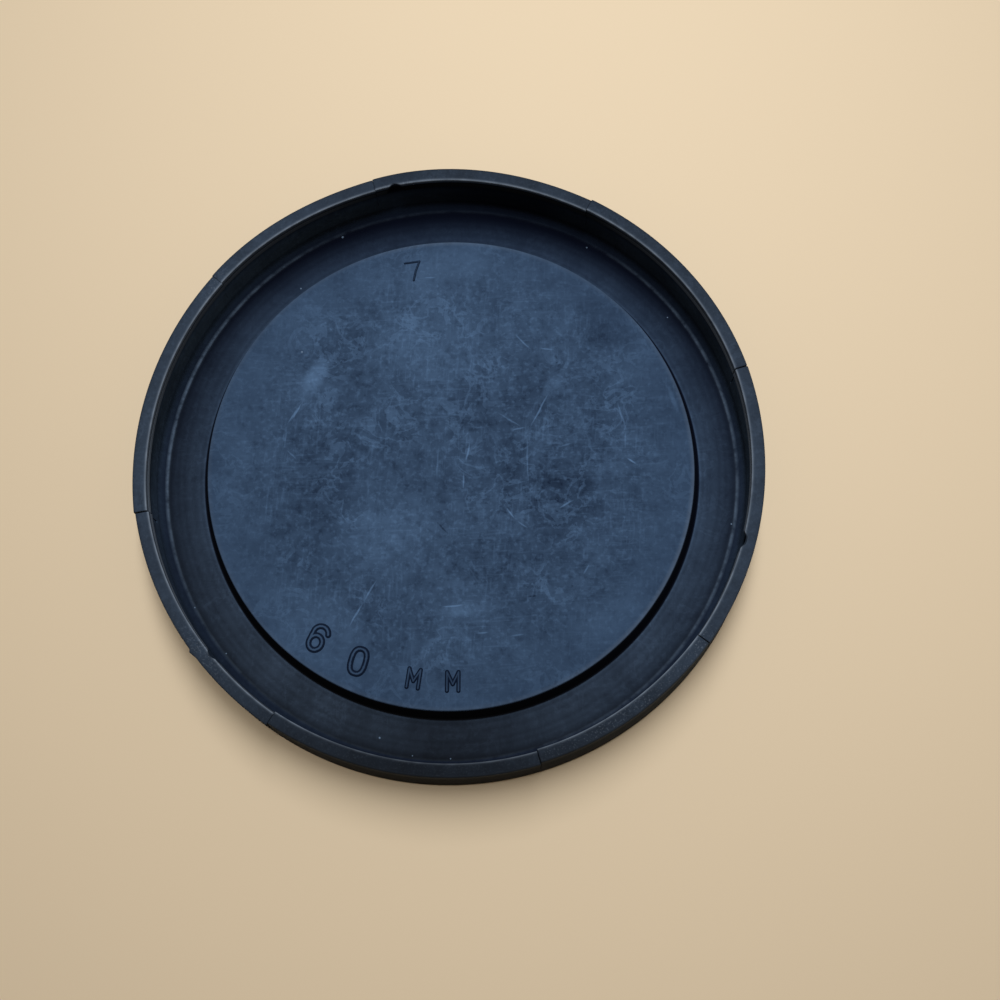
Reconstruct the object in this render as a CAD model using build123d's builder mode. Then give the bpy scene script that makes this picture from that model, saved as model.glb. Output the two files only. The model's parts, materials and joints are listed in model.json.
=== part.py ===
from build123d import *
import os

os.makedirs("parts", exist_ok=True)

# Slip-on lens cap moulded in one piece of black rubber, lying on its closed face with its mouth up.
# Sizes are in millimetres and degrees. The origin is the centre of the closed face, and Z is the lens axis.

# Lens rim that the bead grips
lens_rim_diameter = 60.0

# Rim at the mouth, with the bead that stands in from the wall
rim_width = 1.3
rim_edge_bevel = 0.25
lip_bevel = 0.22
bead_projection = 0.35
bead_height = 1.5
bead_slope_height = 0.3

# Wall and closed face
cap_height = 7.8
face_thickness = 1.6
wall_flare = 0.55
wall_foot_round = 0.8
base_edge_bevel = 0.7

# Centre panel, raised inside and dished outside
panel_diameter = 49.65
panel_rise = 2.12
panel_side_run = 0.65
panel_thickness = 1.6
panel_side_width = 1.3
dish_edge_bevel = 0.4

# Knife slits that divide the rim into springy fingers, counter-clockwise from X
slit_angles = (17.0, 62.0, 105.5, 142.0, 191.0, 237.5, 286.5, 323.0)
slit_width = 0.12
slit_overrun = 0.3
uncut_wall_height = 1.7

# Small round grooves across the bead, cut a little past it and narrowing towards the rim
groove_angles = (101.5, 221.5, 343.0)
groove_width = 2.24
groove_sink = 0.15
groove_taper = 10.5
groove_overrun = 0.2

# Radii that follow from the sizes above
bead_radius = lens_rim_diameter / 2
wall_radius = bead_radius + bead_projection
rim_radius = bead_radius + rim_width
base_radius = rim_radius + wall_flare
panel_radius = panel_diameter / 2
panel_foot_radius = panel_radius + panel_side_run
dish_floor_radius = panel_radius - panel_side_width
dish_mouth_radius = panel_foot_radius - panel_side_width

# Levels that follow from the sizes above
panel_top = face_thickness + panel_rise
dish_depth = panel_top - panel_thickness
bead_foot = cap_height - bead_height
wall_top = bead_foot - bead_slope_height
slit_foot = face_thickness + uncut_wall_height
groove_foot = wall_top - groove_overrun

# Slit blade, from inside the bead to outside the foot of the wall
slit_inner_radius = bead_radius - slit_overrun
slit_outer_radius = base_radius + slit_overrun
slit_middle_radius = (slit_inner_radius + slit_outer_radius) / 2
slit_length = slit_outer_radius - slit_inner_radius

# Tapered groove cutter, whose arc at its foot has the groove's width and depth
groove_depth = bead_projection + groove_sink
groove_radius = (groove_width**2 / 4 + groove_depth**2) / (2 * groove_depth)
groove_centre_radius = bead_radius + groove_depth - groove_radius

with BuildPart() as lens_cap:
    # Section of the shell, from the dish under the panel round the rim to the panel's top
    with BuildSketch(Plane.XZ):
        with BuildLine():
            Polyline(
                (0, dish_depth),
                (dish_floor_radius, dish_depth),
                (dish_mouth_radius, 0),
                (base_radius, 0),
                (rim_radius, cap_height),
                (bead_radius, cap_height),
                (bead_radius, bead_foot),
                (wall_radius, wall_top),
                (wall_radius, face_thickness),
                (panel_foot_radius, face_thickness),
                (panel_radius, panel_top),
                (0, panel_top),
                close=True,
            )
        make_face()
    revolve(axis=Axis.Z)

    # Flat faces of the turned shell that carry the edges to be softened
    level_faces = lens_cap.faces().filter_by(Axis.Z).sort_by(Axis.Z)
    upper_faces = level_faces.filter_by(lambda face: face.normal_at().Z > 0)
    closed_face = level_faces[0]
    channel_floor = upper_faces[0]
    rim_face = upper_faces[-1]
    base_edge = closed_face.outer_wire().edges()
    dish_mouth_edge = closed_face.inner_wires().edges()
    wall_foot_edge = channel_floor.outer_wire().edges()
    rim_outer_edge = rim_face.outer_wire().edges()
    lip_edge = rim_face.inner_wires().edges()

    # Rounded corner at the foot of the wall, and bevels on the edges that a hand or a lens meets
    fillet(wall_foot_edge, wall_foot_round)
    chamfer(base_edge, base_edge_bevel)
    chamfer(dish_mouth_edge, dish_edge_bevel)
    chamfer(rim_outer_edge, rim_edge_bevel)
    chamfer(lip_edge, lip_bevel)

    # Slits cut straight down through the rim and most of the wall
    with BuildSketch(Plane.XY.offset(slit_foot)):
        for angle in slit_angles:
            with PolarLocations(slit_middle_radius, 1, start_angle=angle):
                Rectangle(slit_length, slit_width)
    extrude(amount=cap_height - slit_foot, mode=Mode.SUBTRACT)

    # Round grooves that interrupt the bead
    with BuildSketch(Plane.XY.offset(groove_foot)):
        for angle in groove_angles:
            with PolarLocations(groove_centre_radius, 1, start_angle=angle):
                Circle(groove_radius)
    extrude(amount=cap_height - groove_foot, taper=groove_taper, mode=Mode.SUBTRACT)

lens_cap.part.label = "lens_cap"
export_step(lens_cap.part, "parts/lens_cap.step")
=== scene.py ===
import json
import math

import bpy
import numpy as np
from mathutils import Matrix, Vector


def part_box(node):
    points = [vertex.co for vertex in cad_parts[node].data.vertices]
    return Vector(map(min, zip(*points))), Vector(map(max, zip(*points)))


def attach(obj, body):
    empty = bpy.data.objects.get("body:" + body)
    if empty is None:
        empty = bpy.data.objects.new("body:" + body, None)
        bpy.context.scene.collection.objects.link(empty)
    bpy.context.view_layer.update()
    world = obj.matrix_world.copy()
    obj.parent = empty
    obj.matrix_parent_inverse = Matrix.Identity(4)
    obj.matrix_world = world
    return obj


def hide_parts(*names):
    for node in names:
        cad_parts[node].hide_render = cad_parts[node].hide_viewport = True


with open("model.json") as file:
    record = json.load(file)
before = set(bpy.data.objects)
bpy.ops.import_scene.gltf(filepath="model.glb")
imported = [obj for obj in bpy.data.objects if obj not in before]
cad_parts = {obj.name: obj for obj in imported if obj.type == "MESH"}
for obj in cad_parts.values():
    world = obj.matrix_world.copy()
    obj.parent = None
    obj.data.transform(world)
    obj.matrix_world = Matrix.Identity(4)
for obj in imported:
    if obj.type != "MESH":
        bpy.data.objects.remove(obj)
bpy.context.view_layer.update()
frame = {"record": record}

# Cap moulding: the whole cap is one piece of black rubber, pressed and cured in a heated mould.
# Its section is turned about the lens axis. A knife has slit the rim into eight fingers, which have
# leaned in and out with use, and three small notches break the bead that grips the lens.
mm = 0.001
lens_socket = next(mount for mount in frame["record"]["mounts"] if mount["name"] == "lens_socket")
bead_radius = lens_socket["dims"]["r_mm"]
cap_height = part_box("lens_cap")[1].z / mm
rim_width = 1.3
wall_flare = 0.55
bead_projection = 0.35
bead_height = 1.5
bead_slope_height = 0.3
bead_line_drop = 0.75
bead_line_width = 0.26
bead_line_sink = 0.06
face_thickness = 1.6
uncut_wall_height = 1.7
panel_radius = 24.825
panel_rise = 2.12
panel_side_run = 0.65
panel_side_width = 1.3

# Radii and levels that follow from the sizes above
rim_radius = bead_radius + rim_width
base_radius = rim_radius + wall_flare
wall_radius = bead_radius + bead_projection
panel_foot_radius = panel_radius + panel_side_run
bead_foot = cap_height - bead_height
bead_line = cap_height - bead_line_drop
wall_top = bead_foot - bead_slope_height
slit_foot = face_thickness + uncut_wall_height
panel_top = face_thickness + panel_rise
dish_depth = panel_top - face_thickness
outside_at_slit_foot = base_radius - wall_flare * slit_foot / cap_height

# Corners of the section from the middle of the underside, over the rim, to the middle of the panel:
# radius, height, rounding, and how many steps the straight run after the corner takes
section = {
    "dish middle": (0.0, dish_depth, 0.0, 5),
    "dish floor edge": (panel_radius - panel_side_width, dish_depth, 0.4, 3),
    "dish mouth": (panel_foot_radius - panel_side_width, 0.0, 0.4, 6),
    "base edge": (base_radius, 0.0, 0.7, 5),
    "slit foot outside": (outside_at_slit_foot, slit_foot, 0.0, 6),
    "rim edge": (rim_radius, cap_height, 0.15, 8),
    "lip": (bead_radius, cap_height, 0.15, 2),
    "bead line top": (bead_radius, bead_line + bead_line_width / 2, 0.0, 1),
    "bead line": (bead_radius + bead_line_sink, bead_line, 0.0, 1),
    "bead line foot": (bead_radius, bead_line - bead_line_width / 2, 0.0, 4),
    "bead foot": (bead_radius, bead_foot, 0.12, 2),
    "wall top": (wall_radius, wall_top, 0.15, 6),
    "slit foot inside": (wall_radius, slit_foot, 0.0, 4),
    "wall foot": (wall_radius, face_thickness, 0.8, 18),
    "panel foot": (panel_foot_radius, face_thickness, 0.15, 4),
    "panel edge": (panel_radius, panel_top, 0.14, 12),
    "panel middle": (0.0, panel_top, 0.0, 0),
}
station_of = {name: index for index, name in enumerate(section)}


def turned_section(corners, arc_steps=6):
    """Rows of the section: radius, height and station, which counts the corners passed so far.
    A corner is an arc tangent to its two sides. A run's points crowd to its ends by half a cosine."""
    points = np.array([corner[:2] for corner in corners])
    radii, heights, stations = [], [], []
    run_start = points[0]
    for index in range(1, len(corners)):
        rounding = corners[index][2]
        into = points[index] - points[index - 1]
        into = into / np.linalg.norm(into)
        arc = points[index][None, :]
        if rounding:
            out = points[index + 1] - points[index]
            out = out / np.linalg.norm(out)
            turn = math.atan2(into[0] * out[1] - into[1] * out[0], into @ out)
            reach = rounding * math.tan(abs(turn) / 2)
            swing = np.linspace(0, turn, arc_steps)[:, None]
            side = math.copysign(1.0, turn) * np.array((-into[1], into[0]))
            centre = points[index] - into * reach + side * rounding
            arc = centre - side * rounding * np.cos(swing) + into * rounding * np.sin(abs(swing))
        share = (1 - np.cos(np.linspace(0, np.pi, corners[index - 1][3] + 2)[1:-1])) / 2
        run = run_start + (arc[0] - run_start) * share[:, None]
        rows = np.concatenate((run, arc))
        radii.append(rows[:, 0])
        heights.append(rows[:, 1])
        stations.append(np.concatenate((index - 1 + share, np.full(len(arc), float(index)))))
        run_start = arc[-1]
    return np.concatenate(radii)[:-1], np.concatenate(heights)[:-1], np.concatenate(stations)[:-1]


row_radius, row_height, row_station = turned_section(list(section.values()))

# Slits with their fingers, as angles counter-clockwise from X and sizes along the rim. A finger's lean
# outwards at the rim has four values: at its start, one third, two thirds and its end.
slit_angle = np.radians((17.0, 62.0, 105.5, 142.0, 191.0, 237.5, 286.5, 323.0))
slit_gap = np.array((0.13, 0.02, 0.015, 0.02, 0.16, 0.03, 0.08, 0.10))
finger_lean = np.array((
    (0.03, 0.03, -0.01, 0.01), (-0.14, -0.13, 0.00, -0.06), (-0.15, -0.22, -0.12, -0.08),
    (-0.17, -0.17, -0.08, 0.12), (-0.02, -0.08, -0.05, 0.11), (-0.09, -0.06, 0.04, 0.14),
    (-0.05, -0.04, -0.07, -0.02), (0.03, -0.03, -0.05, 0.06)))
lean_power = 1.5
cut_sag = 0.05
cut_sag_width = 0.08

# Notches across the bead, and the torn nib on the rim's outer edge
notch_angle = np.radians((101.5, 221.5, 343.0))
notch_half_width = np.array((1.12, 1.12, 1.35))
notch_depth = np.array((0.50, 0.50, 0.60))
notch_taper = math.radians(10.5)
notch_overrun = 0.2
notch_foot = wall_top - notch_overrun
notch_fade_height = 0.3
notch_rim_reach = 0.8
nib_angle = math.radians(218.6)
nib_reach = 0.2
nib_steep_side = 0.15
nib_long_side = 0.9
nib_drop = 0.2
nib_spread = 0.3


def angle_from(start, angle):
    """Signed angle from a start to another angle, the short way round, in radians."""
    return (angle - start + np.pi) % (2 * np.pi) - np.pi


def clear_of(columns, taken, spacing):
    """Those columns that lie further than the spacing, in radians, from every taken one."""
    apart = angle_from(taken[None, :], columns[:, None])
    return columns[np.abs(apart).min(axis=1) > spacing]


# Columns of the grid: close together at the slits, the notches and the nib, by millimetres along the rim,
# and even elsewhere. A column too close to an earlier one, in radians, is left out.
slit_edge = slit_gap / 2 / bead_radius
beside_slit = np.array((0.0, 0.07, 0.2, 0.45)) / bead_radius
slit_columns = np.concatenate([
    (slit_angle[:, None] + side * (slit_edge[:, None] + beside_slit)).ravel() for side in (-1, 1)])
notch_reach = 1.6
notch_column_count = 33
across_notch = np.linspace(-notch_reach, notch_reach, notch_column_count) / bead_radius
notch_columns = (notch_angle[:, None] + across_notch).ravel()
nib_start = -0.4
nib_end = 1.2
nib_column_count = 17
nib_columns = nib_angle + np.linspace(nib_start, nib_end, nib_column_count) / rim_radius
even_step = 1.2
even_columns = np.radians(np.arange(0, 360, even_step))
columns = slit_columns
for more_columns, spacing in ((notch_columns, 0.0025), (nib_columns, 0.0015), (even_columns, 0.006)):
    columns = np.concatenate((columns, clear_of(more_columns, columns, spacing)))
columns = np.sort(columns % (2 * np.pi))

# The turned grid: rows along the section, columns round the axis
radius = np.repeat(row_radius[:, None], len(columns), axis=1)
height = np.repeat(row_height[:, None], len(columns), axis=1)
row_count, column_count = radius.shape
station = row_station[:, None]
cut_rows = (station >= station_of["slit foot outside"]) & (station <= station_of["slit foot inside"])
up_slit = np.clip((height - slit_foot) / (cap_height - slit_foot), 0, 1)
bend = np.where(cut_rows, up_slit, 0) ** lean_power

# Each finger's lean follows a cubic through its four values, and grows up the slit
finger = np.searchsorted(slit_angle, columns) - 1
finger_span = (np.roll(slit_angle, -1) - slit_angle) % (2 * np.pi)
along = ((columns - slit_angle[finger]) % (2 * np.pi)) / finger_span[finger]
shares = np.stack((
    -(3 * along - 1) * (3 * along - 2) * (along - 1), 9 * along * (3 * along - 2) * (along - 1),
    -9 * along * (3 * along - 1) * (along - 1), along * (3 * along - 1) * (3 * along - 2)), axis=-1) / 2
lean = (finger_lean[finger] * shares).sum(axis=-1)

# Notch: a round hollow, part of an upright cone that narrows towards the rim and fades out under the bead
notch_radius = (notch_half_width ** 2 + notch_depth ** 2) / (2 * notch_depth)
notch_centre = bead_radius + notch_depth - notch_radius
round_notch = np.abs(angle_from(notch_angle[None, :], columns[:, None]))
nearest = round_notch.argmin(axis=1)
beside_notch = round_notch.min(axis=1) * bead_radius
cone_radius = notch_radius[nearest] - np.clip(height - notch_foot, 0, None) * math.tan(notch_taper)
cone_reach = np.sqrt(np.clip(cone_radius ** 2 - beside_notch ** 2, 0, None))
notch_fade = np.clip((height - notch_foot) / notch_fade_height, 0, 1)
hollow = np.clip(notch_centre[nearest] + cone_reach - bead_radius, 0, None) * notch_fade
on_bead = (station >= station_of["lip"]) & (station < station_of["bead foot"])
on_wall = (station >= station_of["bead foot"]) & (station < station_of["slit foot inside"])
on_rim = (station > station_of["rim edge"]) & (station < station_of["lip"])
rim_share = np.clip(1 - (radius - bead_radius) / notch_rim_reach, 0, 1)
radius = radius + np.where(on_bead, hollow, 0) + np.where(on_rim, hollow * rim_share, 0)
radius = np.where(on_wall, np.maximum(radius, bead_radius + hollow), radius)


def bell(distance, width):
    """Bell curve: e to the power of minus the square of distance over width, which is 1 at no distance."""
    return np.exp(-(distance / width) ** 2)


# Nib: a tooth on the rim's outer edge, steep on one side, as a torn scrap of flash leaves it
past_nib = angle_from(nib_angle, columns) * rim_radius
tooth = np.clip(np.minimum(1 + past_nib / nib_steep_side, 1 - past_nib / nib_long_side), 0, 1)
near_edge = bell(np.hypot(row_radius - rim_radius, row_height - cap_height + nib_drop), nib_spread)
radius = radius + lean * bend + nib_reach * tooth * near_edge[:, None]

# The rubber has drawn down a little along each cut
round_slit = np.abs(angle_from(slit_angle[None, :], columns[:, None]))
beside_cut = (round_slit - slit_edge[None, :]).min(axis=1) * bead_radius
height = height - cut_sag * bell(beside_cut, cut_sag_width) * bend

grid = np.stack((radius * np.cos(columns), radius * np.sin(columns), height), axis=-1).reshape(-1, 3)
poles = np.array(((0, 0, dish_depth), (0, 0, panel_top)))
cap_points = np.concatenate((grid, poles)) * mm

# Faces between neighbouring rows and columns, left out where a slit goes through the rim
number = np.arange(row_count * column_count).reshape(row_count, column_count)
after = np.roll(number, -1, axis=1)
quads = np.stack((number[:-1], after[:-1], after[1:], number[1:]), axis=-1)
first_cut = int(np.flatnonzero(row_station == station_of["slit foot outside"])[0])
last_cut = int(np.flatnonzero(row_station == station_of["slit foot inside"])[0])
before_slit = np.searchsorted(columns, slit_angle) - 1
beyond_slit = before_slit + 1
kept = np.ones(quads.shape[:2], bool)
kept[first_cut:last_cut, before_slit] = False
faces = quads[kept].tolist()
bottom_pole = len(grid)
top_pole = bottom_pole + 1
faces += np.stack((np.full(column_count, bottom_pole), after[0], number[0]), axis=-1).tolist()
faces += np.stack((number[-1], after[-1], np.full(column_count, top_pole)), axis=-1).tolist()
smooth_count = len(faces)

# Cut faces of the slits: the two ends of the fingers and the uncut rubber between them
cut_outline = np.arange(first_cut, last_cut + 1)
faces += number[cut_outline[::-1]][:, before_slit].T.tolist()
faces += number[cut_outline][:, beyond_slit].T.tolist()
faces += np.stack((
    number[first_cut, before_slit], number[first_cut, beyond_slit],
    number[last_cut, beyond_slit], number[last_cut, before_slit]), axis=-1).tolist()

cap_mesh = bpy.data.meshes.new("cap_moulding")
cap_mesh.from_pydata(cap_points, [], faces)
cap_mesh.polygons.foreach_set("use_smooth", np.arange(len(faces)) < smooth_count)

# Film of bloom along the section, with painted shade in it: no film just under the bead and on the panel's
# side, less in the line round the bead and along the floor towards the wall. Columns: the corner, how far
# along the run after it, and how thick the film is
film_and_shade_along = (
    ("dish middle", 0.0, 0.50), ("dish mouth", 0.0, 0.40), ("base edge", 0.0, 0.30),
    ("slit foot outside", 0.0, 0.36), ("slit foot outside", 0.9, 0.36),
    ("rim edge", 0.0, 0.32), ("rim edge", 0.15, 0.42), ("lip", 0.0, 0.45),
    ("bead line top", 0.0, 0.80), ("bead line", 0.0, 0.30), ("bead line foot", 0.0, 0.80),
    ("bead foot", 0.0, 0.60), ("bead foot", 0.4, 0.0),
    ("wall top", 0.0, 0.0), ("wall top", 0.3, 0.40), ("slit foot inside", 0.8, 0.35),
    ("wall foot", 0.0, 0.18), ("wall foot", 0.02, 0.18), ("wall foot", 0.25, 0.49),
    ("wall foot", 0.6, 0.62), ("wall foot", 0.95, 0.76), ("wall foot", 0.98, 1.05),
    ("panel foot", 0.0, 0.0), ("panel edge", 0.0, 0.97), ("panel edge", 0.18, 1.0),
    ("panel middle", 0.0, 1.0),
)
film_station = [station_of[name] + share for name, share, thickness in film_and_shade_along]
row_film_and_shade = np.interp(row_station, film_station, [thickness for name, share, thickness in film_and_shade_along])
# The panel's side gets no film: painted shade on a face that lies in shade
on_panel_side = (row_station > station_of["panel foot"]) & (row_station < station_of["panel edge"])
row_film_and_shade = np.where(on_panel_side, 0.0, row_film_and_shade)

# How blue the film is, from a grey film to a slate one
slate_along = {"bead foot": 0.0, "wall top": 0.6, "wall foot": 0.6, "panel foot": 0.75, "panel edge": 1.0}
slate_station = [station_of[name] for name in slate_along]
row_slate = np.interp(row_station, slate_station, list(slate_along.values()))


def row_between(first, last):
    """True for the rows from one corner of the section up to another."""
    return (row_station >= station_of[first]) & (row_station < station_of[last])


def round_share(level, *swells):
    """A share that changes round the axis: a level plus bell curves, each with its middle and its spread
    in degrees and its height."""
    share = np.full(column_count, level)
    for middle, spread, rise in swells:
        share = share + rise * bell(angle_from(math.radians(middle), columns), math.radians(spread))
    return share


# Painted light and shade round the axis: the film is thinner on the far wall, on the far and near floor,
# and on the near side of the rim and of the outer wall, where shade falls, and thicker on the walls, the
# rim and the bead's face at the left and right, where the lamps light them
rim_shading_swing = 0.25
rim_shading = round_share(1.26, (40, 20, -0.2), (125, 14, 0.3), (267, 36, -0.68))
rim_shading = rim_shading + rim_shading_swing * np.cos(2 * columns)
bead_shading_by_degrees = {0: 1.0, 30: 0.6, 60: 0.05, 100: 0.0, 120: 0.3, 150: 0.5, 180: 1.0, 270: 0.1}
bead_shading = np.interp(
    np.degrees(columns), list(bead_shading_by_degrees), list(bead_shading_by_degrees.values()), period=360)
wall_shading = round_share(2.0, (80, 28, -1.75), (0, 22, 2.5), (158, 38, 2.8), (228, 18, -0.6))
floor_shading = round_share(0.95, (90, 62, -0.45), (185, 40, -0.1), (271, 25, -0.58), (0, 20, 0.17))
outside_shading = round_share(1.0, (268, 52, -0.95))
film_and_shading_grid = np.repeat(row_film_and_shade[:, None], column_count, axis=1)
for part_rows, part_round in (
        (row_between("base edge", "rim edge"), outside_shading),
        (row_between("rim edge", "bead line top"), rim_shading),
        (row_between("bead line top", "wall top"), bead_shading),
        (row_between("wall top", "wall foot"), wall_shading),
        (row_between("wall foot", "panel edge"), floor_shading)):
    film_and_shading_grid = np.where(part_rows[:, None], film_and_shading_grid * part_round, film_and_shading_grid)

# Round the corner at the wall's foot the wall's film gives way to the floor's, both with their painted
# light and shade, and the film is thin there, which paints the corner's shade
corner_wall_level = 0.21
corner_floor_level = 0.18
in_corner = row_station == station_of["wall foot"]
up_corner = np.clip((row_height - face_thickness) / section["wall foot"][2], 0, 1)
corner_film_and_shading = np.outer(corner_wall_level * up_corner, wall_shading)
corner_film_and_shading = corner_film_and_shading + np.outer(corner_floor_level * (1 - up_corner), floor_shading)
film_and_shading_grid = np.where(in_corner[:, None], corner_film_and_shading, film_and_shading_grid)

# Painted shadow of the wall on the floor: towards the wall the floor's film thins out, most at the far
# side, but thickens a little at the near side, which paints it lighter there. Turned lines of the mould
# show as faint rings
ring_strength = 0.12
corner_reach = 1.2
wall_shadow_power = 1.5
wall_shadow_mean = 0.42
wall_shadow_swing = 0.70
least_lit_share = 0.05
wall_shadow_round = wall_shadow_mean + wall_shadow_swing * np.sin(columns)
rings = np.random.default_rng(7).uniform(-ring_strength, ring_strength, row_count)
floor_width = wall_radius - corner_reach - panel_foot_radius
near_wall = np.clip((row_radius - panel_foot_radius) / floor_width, 0, 1) ** wall_shadow_power
floor_shadow_and_rings = (1 + rings[:, None]) * np.clip(1 - np.outer(near_wall, wall_shadow_round), least_lit_share, None)
on_floor = row_between("wall foot", "panel edge") & ~in_corner
film_and_shading_grid = np.where(on_floor[:, None], film_and_shading_grid * floor_shadow_and_rings, film_and_shading_grid)

# The floor's film is greyer on the near side
slate_round = round_share(1.0, (255, 85, -0.95))
slate_grid = row_slate[:, None] * np.where(on_floor[:, None], slate_round, 1)

# Wear of the film: most on the open middle of the panel, less on the ring inside its edge and elsewhere
wear_by_radius = {0: 1.0, 19.0: 1.0, 21.5: 0.6, 25.0: 0.45}
row_wear = np.interp(row_radius, list(wear_by_radius), list(wear_by_radius.values()))

# Rubbed lip with a painted highlight: a pale line just below it, unevenly strong from column to column
# and weaker at the near side
lip_highlight_strength = 0.66
lip_highlight_drop = 0.10
lip_highlight_width = 0.13
lip_highlight_swing = 0.15
least_highlight = 0.7
most_highlight = 1.3
lip_highlight_round = round_share(1.35, (266, 28, -0.9), (318, 18, 0.25)) - lip_highlight_swing * np.cos(columns)
uneven_lip_highlight = lip_highlight_round * np.random.default_rng(5).uniform(least_highlight, most_highlight, column_count)
from_lip = np.hypot(row_radius - bead_radius, row_height - cap_height + lip_highlight_drop)
lip_rub_and_highlight = np.outer(lip_highlight_strength * bell(from_lip, lip_highlight_width), uneven_lip_highlight)

# Painted light on the bead's face where the lamps reach it at the left and right, less in the line round
# it, and on the band between that line and the lip
bead_light_strength = 0.8
bead_line_light = 0.3
on_bead_line = np.abs(row_height - bead_line) < bead_line_width / 4
row_bead_light = np.where(on_bead_line, bead_line_light, bead_light_strength)
bead_painted_light = np.outer(row_bead_light * row_between("bead line top", "wall top"), bead_shading)
lip_band = row_between("lip", "bead line top") & (row_station > station_of["lip"])
lip_band_light = np.outer(lip_band, round_share(0.0, (163, 24, 0.75), (345, 30, 0.75)))

# Painted highlight on the panel's edge, strongest at the near right and the far side, and a rubbed outer
# edge of the rim with a painted highlight, most at the near right
panel_highlight_strength = 0.2
panel_highlight_width = 0.2
outer_highlight_drop = 0.8
outer_highlight_width = 0.6
outer_highlight_reach = 0.2
from_panel_edge = np.hypot(row_radius - panel_radius, row_height - panel_top)
panel_highlight_round = round_share(0.3, (335, 40, 0.7), (92, 15, 0.4))
panel_edge_highlight = np.outer(panel_highlight_strength * bell(from_panel_edge, panel_highlight_width), panel_highlight_round)
on_outside = row_between("slit foot outside", "lip") & (row_radius > rim_radius - outer_highlight_reach)
row_outer_highlight = bell(row_height - cap_height + outer_highlight_drop, outer_highlight_width) * on_outside
outer_rub_and_highlight = np.outer(row_outer_highlight, round_share(0.07, (325, 20, 0.10)))

# The notches get no rub or painted highlight, and lose up to half their film, which paints the shade in
# their hollows
notch_edge_depth = 0.15
notch_shade = 0.5
in_notch = np.clip(hollow / notch_edge_depth, 0, 1) * (on_bead | on_wall)
rub_and_highlight_grid = (lip_rub_and_highlight + bead_painted_light + lip_band_light) * (1 - in_notch) + panel_edge_highlight + outer_rub_and_highlight
film_and_shading_grid = film_and_shading_grid * (1 - notch_shade * in_notch)

# A pale line round the wall's foot, strongest at the left and right and faint at the far and near side
pale_line_strength = 0.9
pale_line_width = 0.12
pale_line_inset = 0.85
pale_line_height = 0.5
from_pale_line = row_radius - (wall_radius - pale_line_inset)
at_wall_foot = (row_height < face_thickness + pale_line_height) & (row_station >= station_of["wall foot"])
row_pale_line = pale_line_strength * bell(from_pale_line, pale_line_width) * at_wall_foot
pale_line_by_degrees = {
    0: 0.30, 15: 0.50, 30: 0.55, 60: 0.03, 90: 0.06, 120: 0.18, 135: 0.42, 150: 0.58, 180: 0.63,
    205: 0.22, 230: 0.10, 270: 0.05, 315: 0.25, 335: 0.42, 350: 0.50}
pale_line_round = np.interp(
    np.degrees(columns), list(pale_line_by_degrees), list(pale_line_by_degrees.values()), period=360)

# Scuffed stretches of the rim's face, and an even scuff all round the outer wall
outer_scuff = 0.15
scuff_round = round_share(0.1, (220, 5, 0.6), (305, 14, 0.4), (143, 3, 0.5), (322, 3, 0.5))
rim_face = row_between("rim edge", "lip") & (row_station > station_of["rim edge"])
scuff_grid = np.outer(rim_face, scuff_round) + outer_scuff * row_between("base edge", "rim edge")[:, None]


def give_attribute(mesh, name, values):
    """Stores one number for each point of the mesh, for the material to read."""
    mesh.attributes.new(name, "FLOAT", "POINT").data.foreach_set("value", values.astype(np.float32))


# Each grid's numbers are followed by those of the two poles, under the dish and on the panel
full_film = 0.72
give_attribute(cap_mesh, "film", np.append(film_and_shading_grid, (row_film_and_shade[0], row_film_and_shade[-1])) * full_film)
give_attribute(cap_mesh, "wear", np.append(np.repeat(row_wear, column_count), (1, 1)))
give_attribute(cap_mesh, "slate", np.append(slate_grid, (0, 1)))
give_attribute(cap_mesh, "rub", np.append(rub_and_highlight_grid, (0, 0)))
give_attribute(cap_mesh, "dust", np.append(np.outer(row_pale_line, pale_line_round), (0, 0)))
give_attribute(cap_mesh, "scuff", np.append(scuff_grid, (0, 0)))
cap_mesh.update()
cap = bpy.data.objects.new("cap_moulding", cap_mesh)
bpy.context.scene.collection.objects.link(cap)


def linear(colour):
    """sRGB hex to the linear colour that a shader takes, with full alpha."""
    channels = np.array([int(colour[start:start + 2], 16) for start in (1, 3, 5)]) / 255
    low = channels / 12.92
    high = ((channels + 0.055) / 1.055) ** 2.4
    return (*np.where(channels <= 0.04045, low, high), 1.0)


def add_node(tree, kind, sockets=None, **settings):
    """Adds one node, sets its own settings, and gives each socket a value or another node's output."""
    node = tree.nodes.new(kind)
    for name, value in settings.items():
        setattr(node, name, value)
    for socket, value in (sockets or {}).items():
        if isinstance(value, bpy.types.NodeSocket):
            tree.links.new(value, node.inputs[socket])
        else:
            node.inputs[socket].default_value = value
    return node


# Moulded black rubber with bloom: old natural rubber is a matt blue-black, and wax and fillers that
# come to its surface leave a chalky slate film. The film is cloudy and scuffed in hairlines. Its share on
# each face also carries painted light and shade: thin in corners and on shaded faces, thick on lit ones,
# and painted highlights, partly rubbed edges, make edges a little paler.
rubber = bpy.data.materials.new("moulded_black_rubber")
rubber.use_nodes = True
tree = rubber.node_tree
tree.nodes.clear()
place = add_node(tree, "ShaderNodeTexCoord").outputs["Object"]
wear_and_shading = {name: add_node(tree, "ShaderNodeAttribute", attribute_name=name).outputs["Fac"]
        for name in ("film", "wear", "slate", "rub", "dust", "scuff")}

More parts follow.
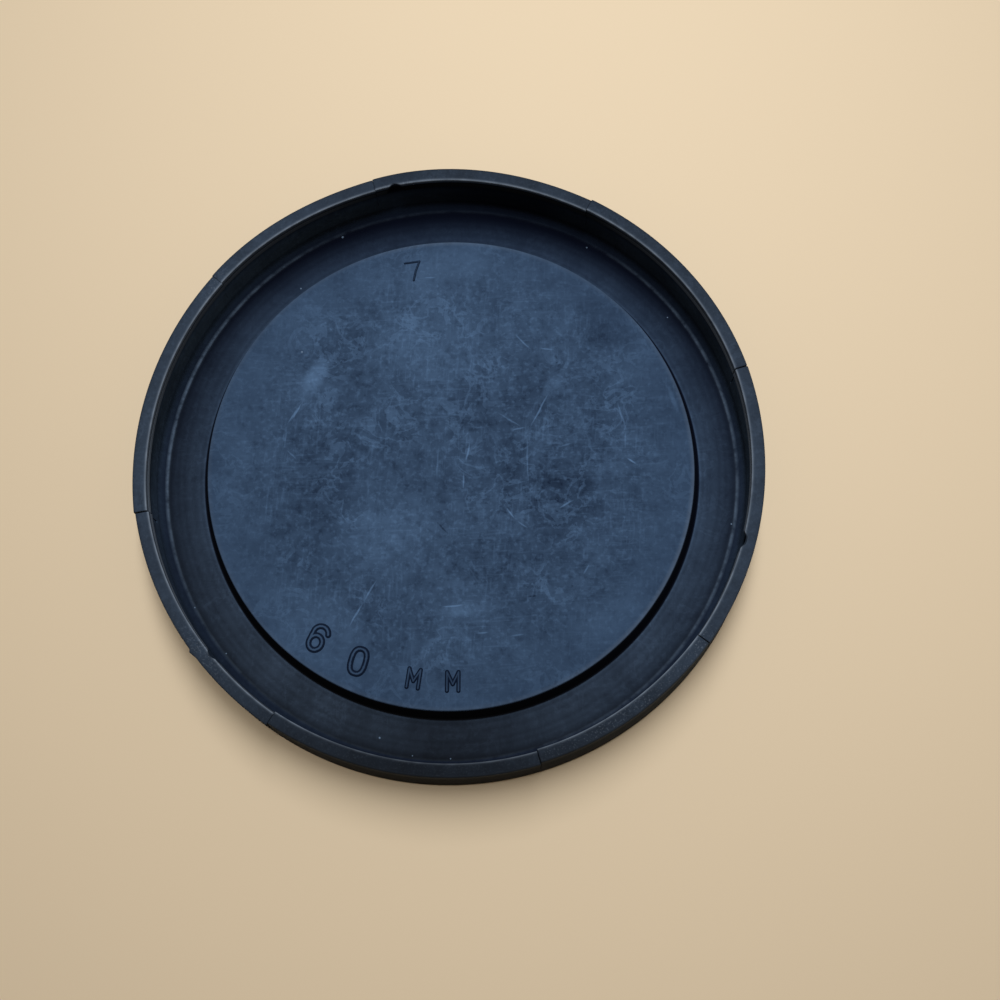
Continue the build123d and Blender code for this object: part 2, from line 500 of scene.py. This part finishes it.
# Mottled film: soft spots, pale flecks and dark flecks, each from noise of its own size in millimetres.
# The noise between two levels runs from one change of the film to another.
mottling = (
    (1.3, 0.30, 0.70, -0.10, 0.10),
    (0.45, 0.52, 0.72, 0.0, 0.26),
    (0.6, 0.52, 0.72, 0.0, -0.14),
)
bloom = None
for fleck_size, low_level, high_level, low_film, high_film in mottling:
    noise = add_node(tree, "ShaderNodeTexNoise", {
        "Vector": place, "Scale": 1 / (fleck_size * mm), "Detail": 2.0, "Roughness": 0.6}).outputs["Fac"]
    fleck = add_node(tree, "ShaderNodeMapRange", {
        "Value": noise, "From Min": low_level, "From Max": high_level,
        "To Min": low_film, "To Max": high_film}).outputs["Result"]
    bloom = fleck if bloom is None else add_node(
        tree, "ShaderNodeMath", {0: bloom, 1: fleck}, operation="ADD").outputs[0]

# Hairline scuffs: noise drawn out along two directions, each in zones of its own, of which only the
# crests show. The hairlines are drawn wider than the real ones, so that they show.
hair_length = 2.2
hair_width = 0.26
hair_strength = 0.20
crest_low = 0.55
crest_high = 0.75
zone_size = 6.0
zone_low = 0.42
zone_high = 0.60
zone_least = 0.15
zone_noise = add_node(tree, "ShaderNodeTexNoise", {
    "Vector": place, "Scale": 1 / (zone_size * mm), "Detail": 1.0}).outputs["Color"]
zone = add_node(tree, "ShaderNodeSeparateColor", {"Color": zone_noise})
for turn, channel in ((3.0, "Red"), (86.0, "Green")):
    drawn = add_node(tree, "ShaderNodeMapping", {
        "Vector": place, "Rotation": (0, 0, math.radians(turn)),
        "Scale": (hair_length * mm, hair_width * mm, hair_length * mm)},
        vector_type="TEXTURE").outputs["Vector"]
    hair = add_node(tree, "ShaderNodeTexNoise", {
        "Vector": drawn, "Scale": 1.0, "Detail": 2.0, "Roughness": 0.5}).outputs["Fac"]
    crest = add_node(tree, "ShaderNodeMapRange", {
        "Value": hair, "From Min": crest_low, "From Max": crest_high,
        "To Max": hair_strength}).outputs["Result"]
    in_zone = add_node(tree, "ShaderNodeMapRange", {
        "Value": zone.outputs[channel], "From Min": zone_low, "From Max": zone_high,
        "To Min": zone_least}).outputs["Result"]
    bloom = add_node(
        tree, "ShaderNodeMath", {0: crest, 1: in_zone, 2: bloom}, operation="MULTIPLY_ADD").outputs[0]

# Veins of thicker film: the narrow bands where a distorted noise crosses its middle level
noise_middle = 0.5
vein_size = 2.6
vein_band = 0.03
vein_strength = 0.22
vein_zone_low = 0.45
vein_zone_high = 0.60
vein = add_node(tree, "ShaderNodeTexNoise", {
    "Vector": place, "Scale": 1 / (vein_size * mm), "Detail": 4.0, "Roughness": 0.55,
    "Distortion": 0.6}).outputs["Fac"]
vein = add_node(tree, "ShaderNodeMath", {
    0: vein, 1: noise_middle, 2: vein_band}, operation="COMPARE").outputs[0]
vein = add_node(tree, "ShaderNodeMath", {0: vein, 1: vein_strength}, operation="MULTIPLY").outputs[0]
in_zone = add_node(tree, "ShaderNodeMapRange", {
    "Value": zone.outputs["Blue"], "From Min": vein_zone_low,
    "From Max": vein_zone_high}).outputs["Result"]
bloom = add_node(
    tree, "ShaderNodeMath", {0: vein, 1: in_zone, 2: bloom}, operation="MULTIPLY_ADD").outputs[0]
bloom = add_node(tree, "ShaderNodeMath", {0: bloom, 1: wear_and_shading["wear"]}, operation="MULTIPLY").outputs[0]

# Broad clouds in the film
cloud_size = 5.0
cloud_strength = 0.10
cloud_low = 0.3
cloud_high = 0.7
cloud = add_node(tree, "ShaderNodeTexNoise", {
    "Vector": place, "Scale": 1 / (cloud_size * mm), "Detail": 4.0, "Roughness": 0.6}).outputs["Fac"]
cloud = add_node(tree, "ShaderNodeMapRange", {
    "Value": cloud, "From Min": cloud_low, "From Max": cloud_high,
    "To Min": -cloud_strength, "To Max": cloud_strength}).outputs["Result"]
bloom = add_node(tree, "ShaderNodeMath", {0: bloom, 1: cloud}, operation="ADD").outputs[0]

# Marks on the panel's top, in millimetres: patches and smudges by their middle, half-length, half-width
# and turn in degrees, and scratches by their two ends. The last number is how much film they add or take.
# The scratches are drawn wider than a real hairline, so that they show.
patches = (
    (-6.0, -7.5, 8.0, 6.0, 20, 0.15), (-2.0, 13.4, 8.0, 6.0, 0, 0.18), (-13.6, -4.2, 4.5, 4.0, 0, -0.12),
    (4.0, -10.4, 5.5, 4.5, 0, -0.12), (7.4, -1.8, 6.5, 6.0, 0, -0.11), (-11.5, 13.0, 4.0, 3.0, 40, -0.12),
    (-14.2, 9.6, 3.0, 1.4, 60, 0.48), (1.2, -15.0, 3.0, 0.9, 4, 0.30), (10.5, 8.5, 1.6, 1.2, 40, 0.26),
    (-12.5, 0.8, 5.0, 4.5, 90, -0.14), (12.5, 0.5, 4.5, 4.5, 0, -0.12), (16.0, 15.5, 6.0, 3.5, -45, -0.16),
    (-15.5, 16.0, 6.0, 3.0, 45, 0.12), (-22.0, 0.0, 6.0, 2.5, 90, 0.10), (0.0, -12.5, 3.5, 3.0, 0, 0.10),
    (9.0, 8.0, 4.5, 4.0, 30, -0.08), (10.0, -9.0, 4.5, 4.0, 0, -0.08), (-8.87, -20.02, 1.1, 0.5, 75, 0.12),
    (-13.17, -18.17, 0.5, 0.45, 0, 0.12), (22.9, 7.0, 1.7, 0.35, 108, 0.25), (0.0, 22.3, 7.0, 2.5, 0, 0.12),
    (16.0, -16.0, 6.5, 2.5, 45, 0.09), (2.5, 6.0, 5.0, 4.5, 0, -0.14), (12.0, -4.0, 6.0, 4.0, 0, -0.16),
    (-14.5, -16.0, 10.0, 5.0, -34, 0.12), (-3.0, 20.3, 10.0, 3.0, 0, 0.10),
    (16.0, 4.0, 4.0, 3.0, 90, -0.10),
)
scratches = (
    (-9.9, -16.7, -8.5, -14.1, 0.63), (-8.5, -14.1, -7.3, -11.8, 0.56), (2.0, 2.5, 1.5, 0.3, 0.70),
    (1.3, -0.8, 1.3, -2.6, 0.63), (-1.3, 2.1, -1.4, -1.8, 0.308), (10.2, 7.9, 8.1, 3.9, 0.63),
    (7.8, 3.9, 7.9, -2.6, 0.392), (4.7, 5.7, 7.4, 3.9, 0.392), (6.2, 3.7, 7.6, 4.0, 0.56),
    (5.7, -4.6, 6.5, -5.6, 0.70), (6.8, -5.9, 7.8, -6.6, 0.49), (10.9, -4.6, 12.6, -3.7, 0.63),
    (11.2, 1.9, 12.5, 2.3, 0.392), (17.1, 7.0, 18.0, 3.6, 0.392), (18.0, 3.6, 17.8, 1.6, 0.308),
    (18.0, 0.7, 18.9, 0.1, 0.84), (6.5, 14.3, 8.3, 12.5, 0.49), (9.1, 12.7, 10.7, 12.5, 0.49),
    (-3.0, 20.7, -1.8, 20.8, 0.42), (14.0, -10.3, 13.4, -11.4, 0.49), (2.6, -17.3, 3.9, -17.2, 0.56),
    (6.0, -17.6, 7.5, -17.3, 0.392), (-0.9, -14.7, 1.7, -14.4, 0.63), (-16.5, 4.8, -15.4, 6.8, 0.63),
    (-16.9, 4.4, -15.8, 6.3, 0.56), (-17.0, 4.2, -17.1, 1.9, 0.308), (-16.9, 1.7, -15.8, 0.7, 0.392),
    (-1.5, -5.9, -0.1, -7.3, -0.28), (7.8, -13.6, 8.7, -13.5, -0.28),
)
scratch_half_width = 0.12
mark_depth = 0.8
mark_core = 0.3
marks = list(patches)
for start_x, start_y, end_x, end_y, strength in scratches:
    middle_x = (start_x + end_x) / 2
    middle_y = (start_y + end_y) / 2
    half_length = math.hypot(end_x - start_x, end_y - start_y) / 2 + scratch_half_width
    turn = math.degrees(math.atan2(end_y - start_y, end_x - start_x))
    marks.append((middle_x, middle_y, half_length, scratch_half_width, turn, strength))

# Their outlines stray a little, as the place is shifted by noise before it is measured
stray_size = 2.5
stray_reach = 0.35
stray = add_node(tree, "ShaderNodeTexNoise", {
    "Vector": place, "Scale": 1 / (stray_size * mm), "Detail": 2.0}).outputs["Color"]
stray = add_node(tree, "ShaderNodeVectorMath", {
    0: stray, 1: (noise_middle,) * 3}, operation="SUBTRACT").outputs["Vector"]
strayed = add_node(tree, "ShaderNodeVectorMath", {
    0: stray, 1: (stray_reach * mm,) * 3, 2: place}, operation="MULTIPLY_ADD").outputs["Vector"]
for x, y, half_length, half_width, turn, strength in marks:
    spot = add_node(tree, "ShaderNodeMapping", {
        "Vector": strayed, "Location": (x * mm, y * mm, panel_top * mm),
        "Rotation": (0, 0, math.radians(turn)),
        "Scale": (half_length * mm, half_width * mm, mark_depth * mm)},
        vector_type="TEXTURE").outputs["Vector"]
    away = add_node(tree, "ShaderNodeVectorMath", {0: spot}, operation="LENGTH").outputs["Value"]
    mark = add_node(tree, "ShaderNodeMapRange", {
        "Value": away, "From Min": 1.0, "From Max": mark_core, "To Max": strength},
        interpolation_type="SMOOTHSTEP").outputs["Result"]
    bloom = add_node(tree, "ShaderNodeMath", {0: bloom, 1: mark}, operation="ADD").outputs[0]

# The film's mean thickness joins its variation, and the faces' own share of film, which also holds the
# painted light and shade, scales both
film_mean = 0.51
film_grey = "#647890"
film_slate = "#577393"
bare_black = "#0B0B0C"
bare_blue = "#050D21"
rubbed_and_lit_grey = "#8995A2"
bloom = add_node(tree, "ShaderNodeMath", {0: bloom, 1: film_mean}, operation="ADD").outputs[0]
bloom = add_node(tree, "ShaderNodeMath", {0: bloom, 1: wear_and_shading["film"]}, operation="MULTIPLY").outputs[0]
film_tint = add_node(tree, "ShaderNodeMix", {
    0: wear_and_shading["slate"], 6: linear(film_grey), 7: linear(film_slate)}, data_type="RGBA").outputs[2]
bare_tint = add_node(tree, "ShaderNodeMix", {
    0: wear_and_shading["slate"], 6: linear(bare_black), 7: linear(bare_blue)}, data_type="RGBA").outputs[2]
tint = add_node(tree, "ShaderNodeMix", {0: bloom, 6: bare_tint, 7: film_tint}, data_type="RGBA").outputs[2]
# Rubbed edges, painted highlights and painted light on lit faces turn the tint a paler grey
tint = add_node(tree, "ShaderNodeMix", {
    0: wear_and_shading["rub"], 6: tint, 7: linear(rubbed_and_lit_grey)}, data_type="RGBA").outputs[2]

# Scuffed grains on the rim and the outer wall. The grain is drawn coarser than the mould's own, so that
# it shows.
grain_size = 0.16
grain_low = 0.56
grain_high = 0.70
grain_strength = 0.5
scuffed_grey = "#79838E"
grain = add_node(tree, "ShaderNodeTexNoise", {
    "Vector": place, "Scale": 1 / (grain_size * mm), "Detail": 2.0}).outputs["Fac"]
scuffed = add_node(tree, "ShaderNodeMapRange", {
    "Value": grain, "From Min": grain_low, "From Max": grain_high,
    "To Max": grain_strength}).outputs["Result"]
scuffed = add_node(tree, "ShaderNodeMath", {0: scuffed, 1: wear_and_shading["scuff"]}, operation="MULTIPLY").outputs[0]
tint = add_node(tree, "ShaderNodeMix", {
    0: scuffed, 6: tint, 7: linear(scuffed_grey)}, data_type="RGBA").outputs[2]

# The pale line at the wall's foot breaks up in drifts, and single specks of dust by their place and
# half-size in millimetres
drift_size = 1.2
drift_low = 0.25
drift_high = 0.6
pale_grey = "#6F8296"
specks = (
    (-12.2, 26.5, 1.6, 0.15), (-16.5, 20.5, 1.6, 0.11), (-25.8, -14.3, 1.9, 0.11), (28.7, -5.8, 1.6, 0.10),
    (-15.7, 12.4, 3.7, 0.12), (-3.6, -29.0, 1.9, 0.09), (-6.8, -27.3, 1.6, 0.13), (0.2, -29.3, 1.9, 0.10),
    (-22.4, -19.0, 1.7, 0.09), (14.5, 25.2, 1.6, 0.10), (23.0, 17.0, 1.6, 0.09),
)
drift = add_node(tree, "ShaderNodeTexNoise", {
    "Vector": place, "Scale": 1 / (drift_size * mm), "Detail": 4.0, "Roughness": 0.65}).outputs["Fac"]
drift = add_node(tree, "ShaderNodeMapRange", {
    "Value": drift, "From Min": drift_low, "From Max": drift_high}).outputs["Result"]
pale_share = add_node(tree, "ShaderNodeMath", {0: drift, 1: wear_and_shading["dust"]}, operation="MULTIPLY").outputs[0]
for x, y, z, speck_half in specks:
    spot = add_node(tree, "ShaderNodeMapping", {
        "Vector": strayed, "Location": (x * mm, y * mm, z * mm),
        "Scale": (speck_half * mm, speck_half * mm, mark_depth * mm)},
        vector_type="TEXTURE").outputs["Vector"]
    away = add_node(tree, "ShaderNodeVectorMath", {0: spot}, operation="LENGTH").outputs["Value"]
    speck = add_node(tree, "ShaderNodeMapRange", {
        "Value": away, "From Min": 1.0, "From Max": mark_core}).outputs["Result"]
    pale_share = add_node(tree, "ShaderNodeMath", {0: pale_share, 1: speck}, operation="MAXIMUM").outputs[0]
tint = add_node(tree, "ShaderNodeMix", {
    0: pale_share, 6: tint, 7: linear(pale_grey)}, data_type="RGBA").outputs[2]

# The waxy film is a little smoother than the bare rubber, both are nearly without gloss, and the grain
# stands a hair proud
bare_roughness = 0.95
film_roughness = 0.8
rubber_ior = 1.52
gloss_level = 0.06
relief_strength = 0.35
relief_height = 0.02
rough = add_node(tree, "ShaderNodeMapRange", {
    "Value": bloom, "To Min": bare_roughness, "To Max": film_roughness}).outputs["Result"]
relief = add_node(tree, "ShaderNodeBump", {
    "Height": grain, "Strength": relief_strength, "Distance": relief_height * mm}).outputs["Normal"]
shader = add_node(tree, "ShaderNodeBsdfPrincipled", {
    "Base Color": tint, "Roughness": rough, "Normal": relief, "IOR": rubber_ior,
    "Specular IOR Level": gloss_level})
add_node(tree, "ShaderNodeOutputMaterial", {"Surface": shader.outputs["BSDF"]})
cap_mesh.materials.append(rubber)
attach(cap, "root")
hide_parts("lens_cap")

# Size mark: the lens size, 60 MM, stands up along the panel's near edge. It was cut into the mould with
# a small round cutter, so each stroke is a low ridge with steep sides. The sides get little film, so they
# are
# black: partly a thin film, partly painted shade.
stroke_rise = 0.14
stroke_sink = 0.05
tile_depth = 0.25
tile_step = 0.05
tile_margin = 0.50
crest_share = 0.95


def ellipse_arc(middle, half_width, half_height, start, end, steps, power=2.0):
    """Points on a superellipse from one angle to another: the cosine and sine are raised to 2 / power,
    so that a power of 2 is an ellipse and a higher one squares its shoulders."""
    swing = np.radians(np.linspace(start, end, steps))
    across = np.sign(np.cos(swing)) * np.abs(np.cos(swing)) ** (2 / power)
    up = np.sign(np.sin(swing)) * np.abs(np.sin(swing)) ** (2 / power)
    return np.stack((middle[0] + half_width * across, middle[1] + half_height * up), axis=-1)


def stroke_distance(strokes, spots):
    """Distance of each spot from the nearest stroke. A stroke is a chain of straight steps: the spot is
    dropped onto each step, held between its ends, and the least distance is kept."""
    starts = np.concatenate([stroke[:-1] for stroke in strokes])
    steps = np.concatenate([np.diff(stroke, axis=0) for stroke in strokes])
    offset = spots[..., None, :] - starts
    share = np.clip((offset * steps).sum(axis=-1) / (steps ** 2).sum(axis=-1), 0, 1)
    return np.linalg.norm(offset - share[..., None] * steps, axis=-1).min(axis=-1)


def raised_mark(name, glyphs):
    """Each glyph is a tile let into the panel: a grid whose height is a ridge profile of the distance
    from the strokes, flat along the crest and eased down the sides to just under the panel's top. A skirt
    and a floor close the tile. Glyphs have strokes, middle, clockwise tilt, foot and crest half-widths,
    and the film on the sides, low so that it paints their shade as well, and on the crest."""
    points, faces, films_and_shade, smooth = [], [], [], []
    for strokes, middle, tilt, foot, crest, side_film_and_shade, crest_film in glyphs:
        low = np.concatenate(strokes).min(axis=0) - tile_margin
        high = np.concatenate(strokes).max(axis=0) + tile_margin
        counts = np.ceil((high - low) / tile_step).astype(int) + 1
        sides = (np.linspace(low[axis], high[axis], counts[axis]) for axis in (0, 1))
        across, up = np.meshgrid(*sides, indexing="ij")
        share = (foot - stroke_distance(strokes, np.stack((across, up), axis=-1))) / (foot - crest)
        share = np.clip(share, 0, 1)
        ridge = (stroke_rise + stroke_sink) * share * share * (3 - 2 * share)
        lean = math.radians(tilt)
        turned_x = middle[0] + across * math.cos(lean) + up * math.sin(lean)
        turned_y = middle[1] - across * math.sin(lean) + up * math.cos(lean)
        tile = np.stack((turned_x, turned_y, panel_top - stroke_sink + ridge), axis=-1)
        number = sum(len(part) for part in points) + np.arange(tile[..., 0].size).reshape(counts)
        border = np.concatenate((number[:-1, 0], number[-1, :-1], number[:0:-1, -1], number[0, :0:-1]))
        floor = tile.reshape(-1, 3)[border - number[0, 0]] * (1, 1, 0) + (0, 0, panel_top - tile_depth)
        under = number[-1, -1] + 1 + np.arange(len(border))
        quads = np.stack((number[:-1, :-1], number[1:, :-1], number[1:, 1:], number[:-1, 1:]), axis=-1)
        skirt = np.stack((border, under, np.roll(under, -1), np.roll(border, -1)), axis=-1)
        points += [tile.reshape(-1, 3), floor]
        faces += quads.reshape(-1, 4).tolist() + skirt.tolist() + [under[::-1].tolist()]
        smooth += [True] * quads[..., 0].size + [False] * (len(skirt) + 1)
        films_and_shade += [np.where(share > crest_share, crest_film, side_film_and_shade).ravel(), np.zeros(len(border))]
    mesh = bpy.data.meshes.new(name)
    mesh.from_pydata(np.concatenate(points) * mm, [], faces)
    mesh.polygons.foreach_set("use_smooth", smooth)
    give_attribute(mesh, "film", np.concatenate(films_and_shade) * full_film)
    give_attribute(mesh, "slate", np.ones(len(mesh.vertices)))
    mesh.update()
    mesh.materials.append(rubber)
    mark = bpy.data.objects.new(name, mesh)
    bpy.context.scene.collection.objects.link(mark)
    return mark


six_bowl = ellipse_arc((0.0, -0.48), 0.66, 0.74, 0, 360, 49)
six_hook = ellipse_arc((0.13, 0.52), 0.75, 0.75, 12, 170, 25)
six_back = np.array((six_hook[-1], (-0.66, -0.48)))
zero_ring = ellipse_arc((0.0, 0.0), 0.72, 1.24, 0, 360, 65, power=2.6)
letter_m = np.array(((-0.56, -0.92), (-0.56, 0.92), (0.0, -0.28), (0.56, 0.92), (0.56, -0.92)))
figure_stroke = (0.42, 0.07, 0.12, 0.95)
letter_stroke = (0.29, 0.05, 0.10, 0.75)
size_mark = raised_mark("size_mark", (
    ((six_bowl, six_hook, six_back), (-12.98, -17.73), 23.0, *figure_stroke),
    ((zero_ring,), (-8.87, -20.02), 15.4, *figure_stroke),
    ((letter_m,), (-3.40, -21.70), 8.3, *letter_stroke),
    ((letter_m,), (0.43, -22.00), 0.0, *letter_stroke),
))
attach(size_mark, "root")

# Mould number: a plain 7 beyond the middle of the panel tells which cavity of the mould the cap is from.
# It was scribed into the mould by hand, in finer strokes than the size mark.
number_seven = np.array(((-0.80, 0.88), (0.75, 1.11), (0.52, 0.43), (0.36, -0.07), (0.19, -1.07)))
number_stroke = (0.17, 0.03, 0.25, 0.4)
mould_number = raised_mark("mould_number", (((number_seven,), (-4.30, 21.50), 0.0, *number_stroke),))
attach(mould_number, "root")

# Table top: a plain sheet of cream paper that the cap lies on, mouth up. Uncoated paper is matt, so it
# shows soft shadows and no gloss. It belongs to the stage and not to the cap.
table_half = 1.5
table_level = -0.01 * mm
paper_colour = "#EBD4B0"
paper_roughness = 0.8
table_mesh = bpy.data.meshes.new("table_top")
table_corners = np.array(((-1, -1), (1, -1), (1, 1), (-1, 1))) * table_half
table_mesh.from_pydata(np.c_[table_corners, np.full(4, table_level)], [], [(0, 1, 2, 3)])
table = bpy.data.objects.new("table_top", table_mesh)
bpy.context.scene.collection.objects.link(table)
paper = bpy.data.materials.new("matt_cream_paper")
paper.use_nodes = True
paper_shader = paper.node_tree.nodes["Principled BSDF"]
paper_shader.inputs["Base Color"].default_value = linear(paper_colour)
paper_shader.inputs["Roughness"].default_value = paper_roughness
table_mesh.materials.append(paper)

# Light: a long soft lamp beyond the cap and high above it, a small one overhead, and a dim pale room.
# Both lamps have a hood and point a little beyond the cap, so the near part of the table is darker.
# Lamps have a name, width and length in metres, power in watts and a place.
lamps = (
    ("far_lamp", 0.05, 0.21, 0.209, (0.014, 0.105, 0.307)),
    ("ceiling_lamp", 0.04, 0.04, 0.136, (0.0, -0.005, 0.55)),
)
lamp_aim = Vector((0.016, 0.060, 0.0))
lamp_spread = math.radians(90)
lamp_colour = "#F1F6FF"
room_colour = "#F4E2C8"
room_strength = 0.165
for lamp_name, lamp_width, lamp_length, lamp_power, lamp_place in lamps:
    lamp_data = bpy.data.lights.new(lamp_name, "AREA")
    lamp_data.shape = "RECTANGLE"
    lamp_data.size = lamp_width
    lamp_data.size_y = lamp_length
    lamp_data.spread = lamp_spread
    lamp_data.energy = lamp_power
    lamp_data.color = linear(lamp_colour)[:3]
    lamp = bpy.data.objects.new(lamp_name, lamp_data)
    lamp.location = lamp_place
    lamp.visible_camera = False
    lamp.rotation_euler = (lamp_aim - lamp.location).to_track_quat("-Z", "Y").to_euler()
    bpy.context.scene.collection.objects.link(lamp)
room = bpy.data.worlds.new("pale_room")
room.use_nodes = True
room_light = room.node_tree.nodes["Background"]
room_light.inputs["Color"].default_value = linear(room_colour)
room_light.inputs["Strength"].default_value = room_strength
bpy.context.scene.world = room
bpy.context.scene.view_settings.view_transform = "Standard"

# Camera: above the cap and a little towards the viewer, as the photo was taken
camera_place = Vector((6.45, -35.37, 126.05)) * mm
camera_aim = Vector((5.09, -4.76, 7.8)) * mm
camera_data = bpy.data.cameras.new("camera")
camera_data.sensor_width = 36.0
camera_data.lens = 44.9
camera_data.clip_start = 0.005
camera = bpy.data.objects.new("camera", camera_data)
ahead = (camera_aim - camera_place).normalized()
rightward = ahead.cross(Vector((0, 1, 0))).normalized()
upward = rightward.cross(ahead)
camera_turn = Matrix((rightward, upward, -ahead)).transposed()
camera.matrix_world = Matrix.Translation(camera_place) @ camera_turn.to_4x4()
bpy.context.scene.collection.objects.link(camera)
bpy.context.scene.camera = camera
